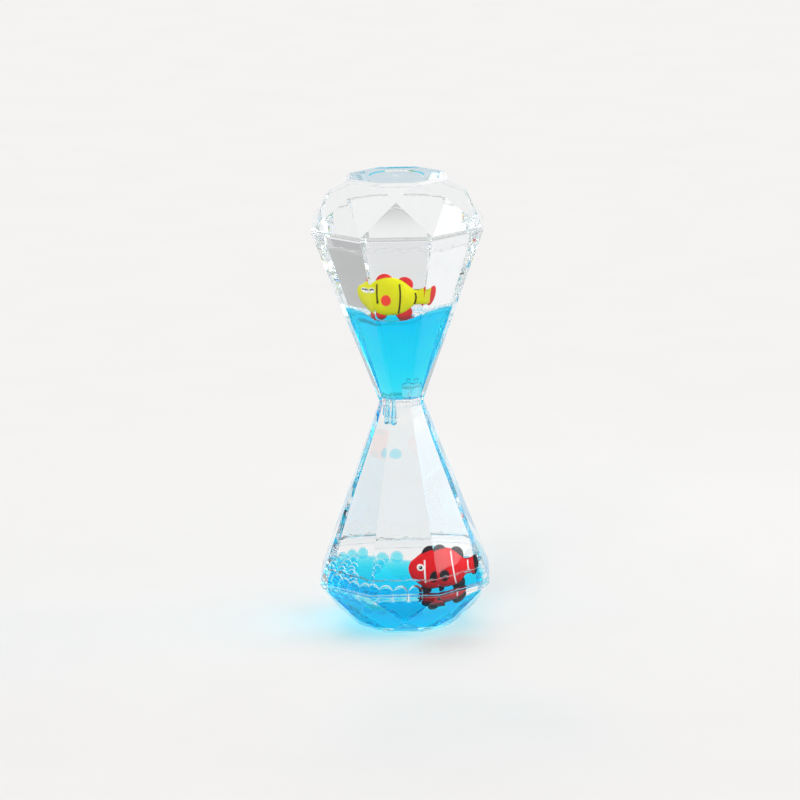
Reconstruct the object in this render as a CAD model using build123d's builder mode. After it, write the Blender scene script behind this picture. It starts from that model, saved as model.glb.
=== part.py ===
from build123d import *
import os
from math import cos, hypot, pi, radians, sin, sqrt

# A liquid motion timer in the shape of two cut gems that stand point to point.
# The origin is the middle of the foot, +Z is up and -Y is the front.
# The lower half is modelled first. The upper half is its mirror image in the plane of the neck.

os.makedirs("parts", exist_ok=True)

# Clear vessel
girdle_across_flats = 50.0
girdle_band = 1.2
crown_height = 13.9
table_across_flats = 27.1
girdle_apex_radius = 20.2
crown_wall = 2.4
chamber_length = 51.8
chamber_wall = 2.0
neck_across_flats = 13.0
lip_depth = 2.8
lip_thickness = 1.2
glue_gap = 0.05

# Round plug of the filling hole in each table
plug_head_diameter = 16.0
plug_head_thickness = 1.2
plug_shank_diameter = 11.0
plug_recess = 0.2
plug_inner_reach = 0.5
gate_mark_diameter = 1.6
gate_mark_depth = 0.4

# Partition at the neck and its two tubes
flange_thickness = 1.2
spigot_length = 1.0
spigot_gap = 0.1
nozzle_diameter = 3.4
nozzle_bore = 1.8
nozzle_offset = 2.4
nozzle_reach = 4.2
nozzle_tip_chamfer = 0.4
press_gap = 0.02

# Liquids
upper_water_above_neck = 30.0
lower_water_below_girdle = 2.6
liquid_film = 0.05
hanging_drop_diameter = 2.1
falling_drop_diameter = 4.8
falling_drop_below_nozzle = 10.7

# Beads of water that float where the two liquids meet
upper_bead_diameter = 1.6
wall_bead_diameter = 4.2
middle_bead_diameter = 3.4
inner_bead_diameter = 3.0
bead_gap = 0.3
bead_float_share = 0.5
upper_beads_from = -38.0
upper_beads_to = 214.0
wall_beads_from = 98.0
wall_beads_to = 286.0
middle_beads_from = 122.0
middle_beads_to = 226.0
inner_beads_from = 142.0
inner_beads_to = 206.0

# Fish floats, both from one mould
fish_body_length = 15.0
fish_body_height = 12.2
fish_body_width = 7.0
fish_wall = 1.0
fish_tail_reach = 5.0
tail_root_reach = 3.2
tail_root_height = 5.2
tail_waist_reach = 0.7
tail_waist_height = 3.8
tail_root_thickness = 2.4
tail_root_overlap = 2.5
tail_fin_height = 6.2
tail_fin_tab = 0.7
fin_thickness = 1.2
fin_gap = 0.03
front_dorsal_place = -0.8
front_dorsal_radius = 2.6
front_dorsal_reach = 1.3
rear_dorsal_place = 4.5
rear_dorsal_radius = 2.4
rear_dorsal_reach = 1.6
pelvic_place = -1.9
pelvic_radius = 1.7
pelvic_reach = 1.1
anal_place = 4.6
anal_radius = 2.5
anal_reach = 2.6
ballast_diameter = 2.6
ballast_height = 3.0
ballast_gap = 0.1
fish_liquid_gap = 0.25

# Where the two fish float
fish_above_water = 4.9
yellow_fish_wall_gap = 2.2
yellow_fish_off_centre = -3.1
red_fish_tail_gap = 0.5
red_fish_tail_azimuth = -10.7
red_fish_turn = 21.6

# Derived heights and radii of the lower half
corner_turn = 22.5
girdle_apothem = girdle_across_flats / 2
girdle_corner = girdle_apothem / cos(radians(corner_turn))
table_apothem = table_across_flats / 2
table_corner = table_apothem / cos(radians(corner_turn))
apex_drop = (
    crown_height
    * (girdle_corner - girdle_apex_radius * cos(radians(corner_turn)))
    / (girdle_corner - table_corner)
)
apex_height = crown_height - apex_drop
seam_height = crown_height + girdle_band / 2
girdle_top = crown_height + girdle_band
neck_end = girdle_top + chamber_length
neck_height = neck_end + flange_thickness / 2
neck_apothem = neck_across_flats / 2
lip_end = girdle_top + lip_depth
lip_inset = glue_gap + lip_thickness
lower_plate_face = neck_end - spigot_length
upper_plate_face = 2 * neck_height - lower_plate_face
spigot_radius = neck_apothem - chamber_wall - spigot_gap
nozzle_tip = lower_plate_face - nozzle_reach
upper_level = neck_height + upper_water_above_neck
lower_level = girdle_top - lower_water_below_girdle
neck_plane = Plane.XY.offset(neck_height)


def save(piece, name):
    """Label one finished piece and write it under its own name."""
    piece.part.label = name
    export_step(piece.part, f"parts/{name}.step")


def octagon(apothem):
    """Eight-sided outline with a flat to the front."""
    RegularPolygon(radius=apothem, side_count=8, major_radius=False, rotation=corner_turn)


def inner_apothem(height):
    """Half the width across flats inside the lower chamber at one height."""
    slope = (girdle_apothem - neck_apothem) / chamber_length
    return girdle_apothem - chamber_wall - slope * max(height - girdle_top, 0)


def octagon_block(low, low_apothem, high, high_apothem):
    """Eight-sided block between two heights, straight or tapered."""
    with BuildPart() as block:
        with BuildSketch(Plane.XY.offset(low)):
            octagon(low_apothem)
        with BuildSketch(Plane.XY.offset(high)):
            octagon(high_apothem)
        loft(ruled=True)
    return block.part


def facet(azimuth, outer_radius, outer_height, inner_radius, inner_height, inset):
    """Plane of one crown facet through two points of its middle line, moved in by the inset."""
    drop = outer_height - inner_height
    run = outer_radius - inner_radius
    out = drop / hypot(drop, run)
    down = run / hypot(drop, run)
    east = cos(radians(azimuth))
    north = sin(radians(azimuth))
    radius = outer_radius - inset * out
    place = (radius * east, radius * north, outer_height + inset * down)
    return Plane(origin=place, z_dir=(out * east, out * north, -down))


def crown_facets(inset):
    """Girdle triangles, kites and star facets of the lower crown."""
    facets = []
    for side in range(8):
        flat = side * 2 * corner_turn
        corner = flat + corner_turn
        facets.append(facet(flat, girdle_apothem, crown_height, girdle_apex_radius, apex_height, inset))
        facets.append(facet(corner, girdle_corner, crown_height, table_corner, 0, inset))
        facets.append(facet(flat, girdle_apex_radius, apex_height, table_apothem, 0, inset))
    return facets


def cut_gem(apothem, floor, inset):
    """Eight-sided block from the floor to the seam, ground on every crown facet."""
    with BuildPart() as gem:
        with BuildSketch(Plane.XY.offset(floor)):
            octagon(apothem)
        extrude(amount=seam_height - floor)
        for plane in crown_facets(inset):
            split(bisect_by=plane, keep=Keep.BOTTOM)
    return gem.part


def mouth_core(inset, top):
    """Inside of the chamber's mouth from the seam up, drawn in by the inset."""
    with BuildPart() as core:
        rim_apothem = inner_apothem(girdle_top) - inset
        add(octagon_block(seam_height, rim_apothem, girdle_top, rim_apothem))
        add(octagon_block(girdle_top, rim_apothem, top, inner_apothem(top) - inset))
    return core.part


# The lower crown is the foot: a faceted shell with a lip that seats in the chamber's mouth.
crown_lip = mouth_core(glue_gap, lip_end) - mouth_core(lip_inset, lip_end)
with BuildPart() as lower_crown:
    add(cut_gem(girdle_apothem, 0, 0))
    add(cut_gem(inner_apothem(seam_height) - lip_inset, crown_wall, crown_wall), mode=Mode.SUBTRACT)
    add(crown_lip)
    with Locations(Plane(origin=(0, 0, 0), z_dir=(0, 0, -1))):
        CounterBoreHole(
            radius=plug_shank_diameter / 2 + glue_gap,
            counter_bore_radius=plug_head_diameter / 2 + glue_gap,
            counter_bore_depth=plug_recess + plug_head_thickness,
            depth=crown_wall,
        )
save(lower_crown, "lower_crown")

with BuildPart() as upper_crown:
    mirror(lower_crown.part, about=neck_plane)
save(upper_crown, "upper_crown")

# The plug closes the filling hole and stands a little inside the table, so the table takes the load.
with BuildPart() as lower_fill_plug:
    with BuildSketch(Plane.XY.offset(plug_recess)):
        Circle(plug_head_diameter / 2)
    extrude(amount=plug_head_thickness)
    with BuildSketch(Plane.XY.offset(plug_recess)):
        Circle(plug_shank_diameter / 2)
    extrude(amount=crown_wall + plug_inner_reach - plug_recess)
    with BuildSketch(Plane.XY.offset(plug_recess)):
        Circle(gate_mark_diameter / 2)
    extrude(amount=gate_mark_depth, mode=Mode.SUBTRACT)
save(lower_fill_plug, "lower_fill_plug")

with BuildPart() as upper_fill_plug:
    mirror(lower_fill_plug.part, about=neck_plane)
save(upper_fill_plug, "upper_fill_plug")

# The lower chamber tapers from the girdle to the neck and is open at both ends.
with BuildPart() as lower_chamber:
    add(octagon_block(seam_height, girdle_apothem, girdle_top, girdle_apothem))
    add(octagon_block(girdle_top, girdle_apothem, neck_end, neck_apothem))
    add(mouth_core(0, neck_end), mode=Mode.SUBTRACT)
save(lower_chamber, "lower_chamber")

with BuildPart() as upper_chamber:
    mirror(lower_chamber.part, about=neck_plane)
save(upper_chamber, "upper_chamber")

# The partition is clamped between the two necks, centred by a round spigot in each.
with BuildPart() as nozzle_plate:
    with BuildSketch(Plane.XY.offset(neck_end)):
        octagon(neck_apothem)
    extrude(amount=flange_thickness)
    with BuildSketch(Plane.XY.offset(lower_plate_face)):
        Circle(spigot_radius)
    extrude(amount=upper_plate_face - lower_plate_face)
    with BuildSketch(Plane.XY.offset(lower_plate_face)):
        with Locations((-nozzle_offset, 0), (nozzle_offset, 0)):
            Circle(nozzle_diameter / 2 + press_gap)
    extrude(amount=upper_plate_face - lower_plate_face, mode=Mode.SUBTRACT)
save(nozzle_plate, "nozzle_plate")

# The drip nozzle hangs into the lower chamber. The riser is the same tube, turned end for end.
with BuildPart() as drip_nozzle:
    with BuildSketch(Plane.XY.offset(nozzle_tip)):
        with Locations((-nozzle_offset, 0)):
            Circle(nozzle_diameter / 2)
            Circle(nozzle_bore / 2, mode=Mode.SUBTRACT)
    extrude(amount=upper_plate_face - nozzle_tip)
    tip_edges = drip_nozzle.edges().filter_by(GeomType.CIRCLE).group_by(Axis.Z)[0]
    chamfer(tip_edges.sort_by(SortBy.RADIUS)[-1], nozzle_tip_chamfer)
save(drip_nozzle, "drip_nozzle")

neck_turn = Axis((0, 0, neck_height), (0, 1, 0))
with BuildPart() as riser_nozzle:
    add(drip_nozzle.part.rotate(neck_turn, 180))
save(riser_nozzle, "riser_nozzle")

# Fish floats. Each one's frame has x to the tail and z up, with the middle of its body as origin.
half_length = fish_body_length / 2
half_height = fish_body_height / 2
half_width = fish_body_width / 2
yellow_height = upper_level + fish_above_water
yellow_side = inner_apothem(2 * neck_height - yellow_height) - half_width - yellow_fish_wall_gap
yellow_frame = Plane(
    origin=(yellow_fish_off_centre, -yellow_side, yellow_height),
    x_dir=(1, 0, 0),
    z_dir=(0, 0, 1),
)
tail_radius = inner_apothem(lip_end) - lip_inset - red_fish_tail_gap
tail_span = half_length + fish_tail_reach
red_along = (cos(radians(red_fish_turn)), sin(radians(red_fish_turn)), 0)
red_origin = (
    tail_radius * cos(radians(red_fish_tail_azimuth)) - tail_span * red_along[0],
    tail_radius * sin(radians(red_fish_tail_azimuth)) - tail_span * red_along[1],
    lower_level + fish_above_water,
)
red_frame = Plane(origin=red_origin, x_dir=red_along, z_dir=(0, 0, 1))


def side_of(frame):
    """Upright middle plane of a fish, with x to the tail and y up."""
    return Plane(origin=frame.origin, x_dir=frame.x_dir, z_dir=-frame.y_dir)


def egg(frame, swell):
    """Egg-shaped body, grown or shrunk on every side by the swell."""
    with BuildPart() as body:
        Sphere(1)
        scale(by=(half_length + swell, half_width + swell, half_height + swell))
    return frame.location * body.part


def tail_root(frame, swell):
    """Waisted root of the tail, which grows out of the body's rear end."""
    start = half_length - tail_root_overlap
    waist = half_length + tail_waist_reach
    end = half_length + tail_root_reach
    root_height = tail_root_height / 2
    waist_height = tail_waist_height / 2
    with BuildPart() as root:
        with BuildSketch(side_of(frame)):
            with BuildLine():
                Polyline(
                    (start, -root_height),
                    (waist, -waist_height),
                    (end, -root_height),
                    (end, root_height),
                    (waist, waist_height),
                    (start, root_height),
                    close=True,
                )
            make_face()
            if swell > 0:
                offset(amount=swell)
        extrude(amount=tail_root_thickness / 2 + swell, both=True)
    return root.part


def fin_set(frame, swell):
    """Two back fins, two belly fins and the tail fin, each a round-edged plate on the middle plane."""
    lobes = (
        (front_dorsal_place, front_dorsal_radius, front_dorsal_reach, 1),
        (rear_dorsal_place, rear_dorsal_radius, rear_dorsal_reach, 1),
        (pelvic_place, pelvic_radius, pelvic_reach, -1),
        (anal_place, anal_radius, anal_reach, -1),
    )
    tail_start = half_length + tail_root_reach - tail_fin_tab
    tail_end = half_length + fish_tail_reach
    with BuildPart() as fins:
        with BuildSketch(side_of(frame)):
            for place, radius, reach, direction in lobes:
                surface = half_height * sqrt(1 - (place / half_length) ** 2)
                with Locations((place, direction * (surface + reach - radius))):
                    Circle(radius + swell)
            with Locations(((tail_start + tail_end) / 2, 0)):
                Ellipse((tail_end - tail_start) / 2 + swell, tail_fin_height / 2 + swell)
        extrude(amount=fin_thickness / 2 + swell, both=True)
    return fins.part


def fish(name, frame):
    """One float: two glued half shells, the fins held between them and the weight in the belly."""
    shell = egg(frame, 0) + tail_root(frame, 0) - egg(frame, -fish_wall) - fin_set(frame, fin_gap)
    with BuildPart() as near_half:
        add(shell)
        split(bisect_by=side_of(frame), keep=Keep.TOP)
    save(near_half, f"{name}_near_half")
    with BuildPart() as far_half:
        add(shell)
        split(bisect_by=side_of(frame), keep=Keep.BOTTOM)
    save(far_half, f"{name}_far_half")
    with BuildPart() as fins:
        add(fin_set(frame, 0))
        add(egg(frame, -fish_wall), mode=Mode.SUBTRACT)
    save(fins, f"{name}_fins")
    rim = ballast_diameter / 2 + ballast_gap
    seat = (half_height - fish_wall) * sqrt(1 - (rim / (half_width - fish_wall)) ** 2)
    with BuildPart() as ballast:
        with BuildSketch(frame.offset(-seat)):
            Circle(ballast_diameter / 2)
        extrude(amount=ballast_height)
    save(ballast, f"{name}_ballast")


def fish_room(frame):
    """Room that one fish takes up in the liquids."""
    with BuildPart() as room:
        add(egg(frame, fish_liquid_gap))
        add(tail_root(frame, fish_liquid_gap))
        add(fin_set(frame, fish_liquid_gap))
    return room.part


fish("yellow_fish", yellow_frame)
fish("red_fish", red_frame)


def bead_places(ring_radius, diameter, level, start, stop):
    """Middles of a row of beads on an arc, side by side with a small gap between them."""
    pitch = (diameter + bead_gap) / ring_radius * 180 / pi
    count = int((stop - start) / pitch) + 1
    height = level + bead_float_share * diameter / 2
    places = []
    for index in range(count):
        azimuth = radians(start + index * pitch)
        places.append((ring_radius * cos(azimuth), ring_radius * sin(azimuth), height))
    return places


def beads(rows, swell):
    """Rows of beads, each row with its own size, grown by the swell."""
    with BuildPart() as group:
        for diameter, places in rows:
            with Locations(*places):
                Sphere(diameter / 2 + swell)
    return group.part


upper_bead_foot = upper_level - (1 - bead_float_share) * upper_bead_diameter / 2
upper_ring = inner_apothem(2 * neck_height - upper_bead_foot) - upper_bead_diameter / 2 - bead_gap
upper_rows = (
    (
        upper_bead_diameter,
        bead_places(upper_ring, upper_bead_diameter, upper_level, upper_beads_from, upper_beads_to),
    ),
)
wall_ring = inner_apothem(lip_end) - lip_inset - wall_bead_diameter / 2 - bead_gap
middle_ring = wall_ring - (wall_bead_diameter + middle_bead_diameter) / 2 - bead_gap
inner_ring = middle_ring - (middle_bead_diameter + inner_bead_diameter) / 2 - bead_gap
lower_rows = (
    (
        wall_bead_diameter,
        bead_places(wall_ring, wall_bead_diameter, lower_level, wall_beads_from, wall_beads_to),
    ),
    (
        middle_bead_diameter,
        bead_places(middle_ring, middle_bead_diameter, lower_level, middle_beads_from, middle_beads_to),
    ),
    (
        inner_bead_diameter,
        bead_places(inner_ring, inner_bead_diameter, lower_level, inner_beads_from, inner_beads_to),
    ),
)

with BuildPart() as upper_bead_raft:
    add(beads(upper_rows, 0))
save(upper_bead_raft, "upper_bead_raft")

with BuildPart() as lower_bead_raft:
    add(beads(lower_rows, 0))
save(lower_bead_raft, "lower_bead_raft")

# A drop on its way down from the nozzle.
drop_place = (-nozzle_offset, 0, nozzle_tip - falling_drop_below_nozzle)
with BuildPart() as falling_drop:
    with Locations(drop_place):
        Sphere(falling_drop_diameter / 2)
save(falling_drop, "falling_drop")

# Liquid fills what is left of each half, a film away from the walls.
with BuildPart() as lower_room:
    wet_inset = lip_inset + liquid_film
    wet_wall = crown_wall + liquid_film
    add(cut_gem(inner_apothem(seam_height) - wet_inset, wet_wall, wet_wall))
    add(mouth_core(wet_inset, lip_end + liquid_film))
    add(
        octagon_block(
            lip_end + liquid_film,
            inner_apothem(lip_end + liquid_film) - liquid_film,
            lower_plate_face - liquid_film,
            inner_apothem(lower_plate_face - liquid_film) - liquid_film,
        )
    )
    with BuildSketch(Plane.XY.offset(crown_wall)):
        Circle(plug_shank_diameter / 2 + liquid_film)
    extrude(amount=plug_inner_reach + liquid_film, mode=Mode.SUBTRACT)
upper_room = lower_room.part.mirror(neck_plane)


def bore_column(side, diameter, low, high):
    """Upright round column of liquid or of room for a tube, left or right of the axis."""
    with BuildPart() as column:
        with BuildSketch(Plane.XY.offset(low)):
            with Locations((side * nozzle_offset, 0)):
                Circle(diameter / 2)
        extrude(amount=high - low)
    return column.part


def round_bead(side, height, diameter):
    """Ball of liquid at a nozzle's mouth."""
    with BuildPart() as ball:
        with Locations((side * nozzle_offset, 0, height)):
            Sphere(diameter / 2)
    return ball.part


riser_tip = 2 * neck_height - nozzle_tip
column_diameter = nozzle_bore - 2 * liquid_film
column_room = column_diameter + 2 * liquid_film
tube_room = nozzle_diameter + 2 * liquid_film
drop_room = hanging_drop_diameter + 2 * liquid_film
water_drop_height = nozzle_tip - hanging_drop_diameter / 2 - liquid_film
oil_drop_height = 2 * neck_height - water_drop_height

# Dyed water of the upper half, with the column in the drip nozzle and the drop that hangs from it.
with BuildPart() as upper_dyed_water:
    add(upper_room)
    split(bisect_by=Plane.XY.offset(upper_level), keep=Keep.BOTTOM)
    add(bore_column(1, tube_room, upper_plate_face, riser_tip + liquid_film), mode=Mode.SUBTRACT)
    add(bore_column(1, column_room, riser_tip, oil_drop_height), mode=Mode.SUBTRACT)
    add(round_bead(1, oil_drop_height, drop_room), mode=Mode.SUBTRACT)
    add(fish_room(yellow_frame), mode=Mode.SUBTRACT)
    add(beads(upper_rows, liquid_film), mode=Mode.SUBTRACT)
    add(bore_column(-1, column_diameter, water_drop_height, upper_plate_face + 2 * liquid_film))
    add(round_bead(-1, water_drop_height, hanging_drop_diameter))
save(upper_dyed_water, "upper_dyed_water")

with BuildPart() as upper_clear_oil:
    add(upper_room)
    split(bisect_by=Plane.XY.offset(upper_level + liquid_film), keep=Keep.TOP)
    add(fish_room(yellow_frame), mode=Mode.SUBTRACT)
    add(beads(upper_rows, liquid_film), mode=Mode.SUBTRACT)
save(upper_clear_oil, "upper_clear_oil")

with BuildPart() as lower_dyed_water:
    add(lower_room.part)
    split(bisect_by=Plane.XY.offset(lower_level), keep=Keep.BOTTOM)
    add(fish_room(red_frame), mode=Mode.SUBTRACT)
    add(beads(lower_rows, liquid_film), mode=Mode.SUBTRACT)
save(lower_dyed_water, "lower_dyed_water")

# Clear oil of the lower half, with the column in the riser and the bead that leaves it.
with BuildPart() as lower_clear_oil:
    add(lower_room.part)
    split(bisect_by=Plane.XY.offset(lower_level + liquid_film), keep=Keep.TOP)
    add(bore_column(-1, tube_room, nozzle_tip - liquid_film, lower_plate_face), mode=Mode.SUBTRACT)
    add(bore_column(-1, column_room, water_drop_height, nozzle_tip), mode=Mode.SUBTRACT)
    add(round_bead(-1, water_drop_height, drop_room), mode=Mode.SUBTRACT)
    with Locations(drop_place):
        Sphere(falling_drop_diameter / 2 + liquid_film, mode=Mode.SUBTRACT)
    add(fish_room(red_frame), mode=Mode.SUBTRACT)
    add(beads(lower_rows, liquid_film), mode=Mode.SUBTRACT)
    add(bore_column(1, column_diameter, lower_plate_face - 2 * liquid_film, oil_drop_height))
    add(round_bead(1, oil_drop_height, hanging_drop_diameter))
save(lower_clear_oil, "lower_clear_oil")
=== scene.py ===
import math

import bmesh
import bpy
import numpy as np
from mathutils import Matrix


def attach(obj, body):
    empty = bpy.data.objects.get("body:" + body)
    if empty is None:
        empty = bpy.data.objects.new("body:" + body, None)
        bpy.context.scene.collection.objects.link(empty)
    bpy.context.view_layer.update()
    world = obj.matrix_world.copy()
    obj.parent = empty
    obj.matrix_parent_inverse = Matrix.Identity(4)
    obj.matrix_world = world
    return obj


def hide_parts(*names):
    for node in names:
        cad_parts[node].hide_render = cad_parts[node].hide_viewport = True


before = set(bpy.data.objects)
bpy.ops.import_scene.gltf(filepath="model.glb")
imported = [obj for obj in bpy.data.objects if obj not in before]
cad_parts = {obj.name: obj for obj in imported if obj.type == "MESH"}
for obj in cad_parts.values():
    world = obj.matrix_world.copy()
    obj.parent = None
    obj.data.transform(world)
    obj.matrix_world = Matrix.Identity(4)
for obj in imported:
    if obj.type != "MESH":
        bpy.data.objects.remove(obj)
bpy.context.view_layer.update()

# The two chambers are eight-sided funnels of clear polystyrene, injection moulded with walls 2 mm thick and
# slightly rounded edges. Each is glued to its crown at the girdle and to the nozzle plate at the neck.
MM = 0.001
scene = bpy.context.scene
girdle_apothem, neck_apothem, wall = 25.0, 6.5, 2.0
seam_height, girdle_top, neck_end, neck_height = 14.5, 15.1, 66.9, 67.5
taper = (girdle_apothem - neck_apothem) / (neck_end - girdle_top)
seam_crack, chamber_rounding = 0.02, 0.14
corners, side_angle, corner_angle = 8, math.radians(45), math.radians(22.5)
corner_azimuth = np.radians(22.5 + 45 * np.arange(corners))


def polar(radius, turn, height):
    """Points at a radius, a turn about the axis and a height: the radius times the turn's cosine and sine."""
    return np.stack(np.broadcast_arrays(radius * np.cos(turn), radius * np.sin(turn), height), axis=-1)


def octagon(apothem, height):
    """Eight corners at a height: the apothem over the cosine of 22.5 degrees, at odd multiples of it."""
    return polar(apothem / math.cos(corner_angle), corner_azimuth, height)


def inside_apothem(height):
    """Half the width across flats inside the lower chamber: even in the girdle, then less by the taper."""
    return girdle_apothem - wall - taper * np.maximum(np.asarray(height) - girdle_top, 0)


def strips(rows, columns, closed=False, first=0):
    """Faces between neighbouring rings: points c and c + 1 of ring r, then the same two of ring r + 1."""
    row = np.arange(rows if closed else rows - 1)[:, None]
    column = np.arange(columns)[None, :]
    above, beside = (row + 1) % rows, (column + 1) % columns
    here, there = row * columns, above * columns
    quad = [here + column, here + beside, there + beside, there + column]
    return first + np.stack(quad, axis=-1).reshape(-1, 4)


def two_halves(name, points):
    """Name, points and way round of faces, of a lower piece and of the upper one, mirrored at the neck."""
    turned_over = points * [1, 1, -1] + [0, 0, 2 * neck_height]
    return (f"lower_{name}", points, 1), (f"upper_{name}", turned_over, -1)


def make_piece(name, points, blocks, body, materials, nodes, turn=1, smooth=False, layers=None):
    """Mesh piece from points in mm and blocks of (faces, material number), which stands for CAD nodes.

    A turn of -1 turns the faces over. Layers are named values per point that the material reads.
    """
    mesh = bpy.data.meshes.new(name)
    faces = [face for block, _ in blocks for face in block[:, ::turn].tolist()]
    mesh.from_pydata((np.asarray(points) * MM).tolist(), [], faces)
    numbers = np.concatenate([np.full(len(block), number) for block, number in blocks])
    mesh.polygons.foreach_set("material_index", numbers.astype(np.int32))
    mesh.polygons.foreach_set("use_smooth", np.full(len(faces), smooth))
    for layer, values in (layers or {}).items():
        mesh.attributes.new(layer, "FLOAT", "POINT").data.foreach_set("value", values.astype(np.float32))
    for material in materials:
        mesh.materials.append(material)
    mesh.update()
    made = bpy.data.objects.new(name, mesh)
    scene.collection.objects.link(made)
    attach(made, body)
    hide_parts(*nodes)
    return made


def round_edges(made, width, share, soft, material=-1):
    """Rounds edges to a width in mm times their share, a function of the numbers of an edge's two points.

    The rounding takes the material of a number, or else that of the faces beside it. Only the faces of soft
    material numbers are smooth.
    """
    ends = np.empty(2 * len(made.data.edges), np.int32)
    made.data.edges.foreach_get("vertices", ends)
    first, second = ends.reshape(-1, 2).min(axis=1), ends.reshape(-1, 2).max(axis=1)
    weights = made.data.attributes.new("bevel_weight_edge", "FLOAT", "EDGE")
    weights.data.foreach_set("value", share(first, second).astype(np.float32))
    bevel = made.modifiers.new("rounded_edges", "BEVEL")
    bevel.width = width * MM
    bevel.segments = 4
    bevel.material = material
    bevel.limit_method = "WEIGHT"
    bevel.use_clamp_overlap = False
    bevel.harden_normals = True
    numbers = np.empty(len(made.data.polygons), np.int32)
    made.data.polygons.foreach_get("material_index", numbers)
    made.data.polygons.foreach_set("use_smooth", np.isin(numbers, soft))


def linear(code):
    """Linear colour of an sRGB hex code, by the standard's own curve."""
    value = np.array([int(code[i : i + 2], 16) / 255 for i in (0, 2, 4)])
    bent = np.where(value <= 0.04045, value / 12.92, ((value + 0.055) / 1.055) ** 2.4)
    return (*bent.tolist(), 1.0)


def add_node(tree, kind, inputs=None, **settings):
    """Adds one shader node of a kind with its settings.

    An input is a value, a socket that is linked to it, or a node that is linked by its first output.
    """
    node = tree.nodes.new(f"ShaderNode{kind}")
    for key, value in settings.items():
        setattr(node, key, value)
    for key, value in (inputs or {}).items():
        if isinstance(value, bpy.types.Node):
            value = [output for output in value.outputs if output.enabled][0]
        if isinstance(value, bpy.types.NodeSocket):
            tree.links.new(value, node.inputs[key])
        else:
            node.inputs[key].default_value = value
    return node


def blank_material(name):
    """Material with an empty node tree, that tree, and the place on the piece."""
    material = bpy.data.materials.new(name)
    material.use_nodes = True
    tree = material.node_tree
    tree.nodes.clear()
    return material, tree, add_node(tree, "TexCoord").outputs["Object"]


def lit_through(tree, shader, tint):
    """A shader to the eye, but only a tint on the way from a lamp, so that light gets inside the vessel."""
    path = add_node(tree, "LightPath")
    lamp_way = add_node(tree, "BsdfTransparent", {"Color": tint})
    return add_node(tree, "MixShader", {0: path.outputs["Is Shadow Ray"], 1: shader, 2: lamp_way})


# Clear general-purpose polystyrene straight from a polished mould: water-white, glassy, with long faint sink
# waves and a fine haze where it cooled. Its index is a ratio to that of what it touches: 1.485 in air, and
# near 1 against the oil and water inside, so the inner faces hardly show.
def clear_polystyrene(name, index, clearness=1.0, worn=0.0):
    material, tree, place = blank_material(name)
    sink = add_node(tree, "TexNoise", {"Vector": place, "Scale": 1 / (9 * MM), "Detail": 1.0})
    haze = add_node(tree, "TexNoise", {"Vector": place, "Scale": 1 / (2.5 * MM), "Detail": 3.0})
    bump = add_node(tree, "Bump", {"Height": sink, "Strength": 0.1, "Distance": 0.12 * MM})
    rough = add_node(
        tree, "MapRange",
        {"Value": haze, "From Min": 0.35, "From Max": 0.75, "To Min": worn, "To Max": worn + 0.01},
    )
    tint = add_node(
        tree, "Mix", {"Factor": haze, "A": linear("FFFFFF"), "B": linear("FCFCFD")}, data_type="RGBA"
    )
    plastic = add_node(
        tree, "BsdfPrincipled",
        {
            "Base Color": tint, "Roughness": rough, "IOR": index, "Normal": bump,
            "Transmission Weight": clearness, "Specular Tint": linear("A8A8A8"),
        },
    )
    add_node(tree, "OutputMaterial", {"Surface": lit_through(tree, plastic, linear("FAFCFD"))})
    return material


index_in_air = 1.485
outer_plastic = clear_polystyrene("clear_polystyrene_in_air", index_in_air)
inner_plastic = clear_polystyrene("clear_polystyrene_in_liquid", 1.018)
glued_plastic = clear_polystyrene("clear_polystyrene_in_glue", 1.01)
worn_plastic = clear_polystyrene("clear_polystyrene_worn_at_edges", index_in_air, 0.9, 0.12)
dull_plastic = clear_polystyrene("clear_polystyrene_rubbed_dull", index_in_air, 0.45, 0.4)
in_air, in_liquid, in_glue = range(3)

outer_rings = [
    octagon(girdle_apothem, seam_height),
    octagon(girdle_apothem, girdle_top),
    octagon(neck_apothem, neck_end - seam_crack),
]
inner_rings = [
    octagon(neck_apothem - wall, neck_end - seam_crack),
    octagon(girdle_apothem - wall, girdle_top),
    octagon(girdle_apothem - wall, seam_height),
]


def chamber_edge_share(first, second):
    """Full rounding on the edges between points of the outer rings, and none inside."""
    return np.where(second < len(outer_rings) * corners, 1.0, 0.0)


chamber_faces = strips(len(outer_rings + inner_rings), corners, closed=True)
outside, neck_face, inside, rim = np.split(chamber_faces, [2 * corners, 3 * corners, 5 * corners])
chamber_blocks = [(outside, in_air), (inside, in_liquid), (neck_face, in_glue), (rim, in_glue)]
for name, points, turn in two_halves("chamber", np.concatenate(outer_rings + inner_rings)):
    chamber = make_piece(
        f"{name}_shell", points, chamber_blocks, "vessel",
        (outer_plastic, inner_plastic, glued_plastic), [name], turn,
    )
    round_edges(chamber, chamber_rounding, chamber_edge_share, (in_air,))

# The crowns are the faceted caps of the two gems, in the same polystyrene. The lower one is the foot. Table,
# star facets, kites and girdle triangles are flats of one mould, and a lip seats in the chamber's mouth.
crown_height, crown_wall, table_apothem, peak_radius, crown_rounding = 13.9, 2.4, 13.55, 20.2, 0.35
table_corner = table_apothem / math.cos(corner_angle)
girdle_corner = girdle_apothem / math.cos(corner_angle)
peak_run = peak_radius * math.cos(corner_angle) - table_corner
peak_height = crown_height * peak_run / (girdle_corner - table_corner)
lip_end, lip_inset, lip_bite = 17.9, 1.25, 0.05
bore_radius, seat_radius, seat_depth, bore_points = 5.55, 8.05, 1.4, 64


def facet_line(outer, inner, inset):
    """Middle line of a facet in radius and height, as a point and a slope, moved square into the plastic."""
    run, rise = outer[0] - inner[0], outer[1] - inner[1]
    length = math.hypot(run, rise)
    return outer[0] - inset * rise / length, outer[1] + inset * run / length, rise / run


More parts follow.
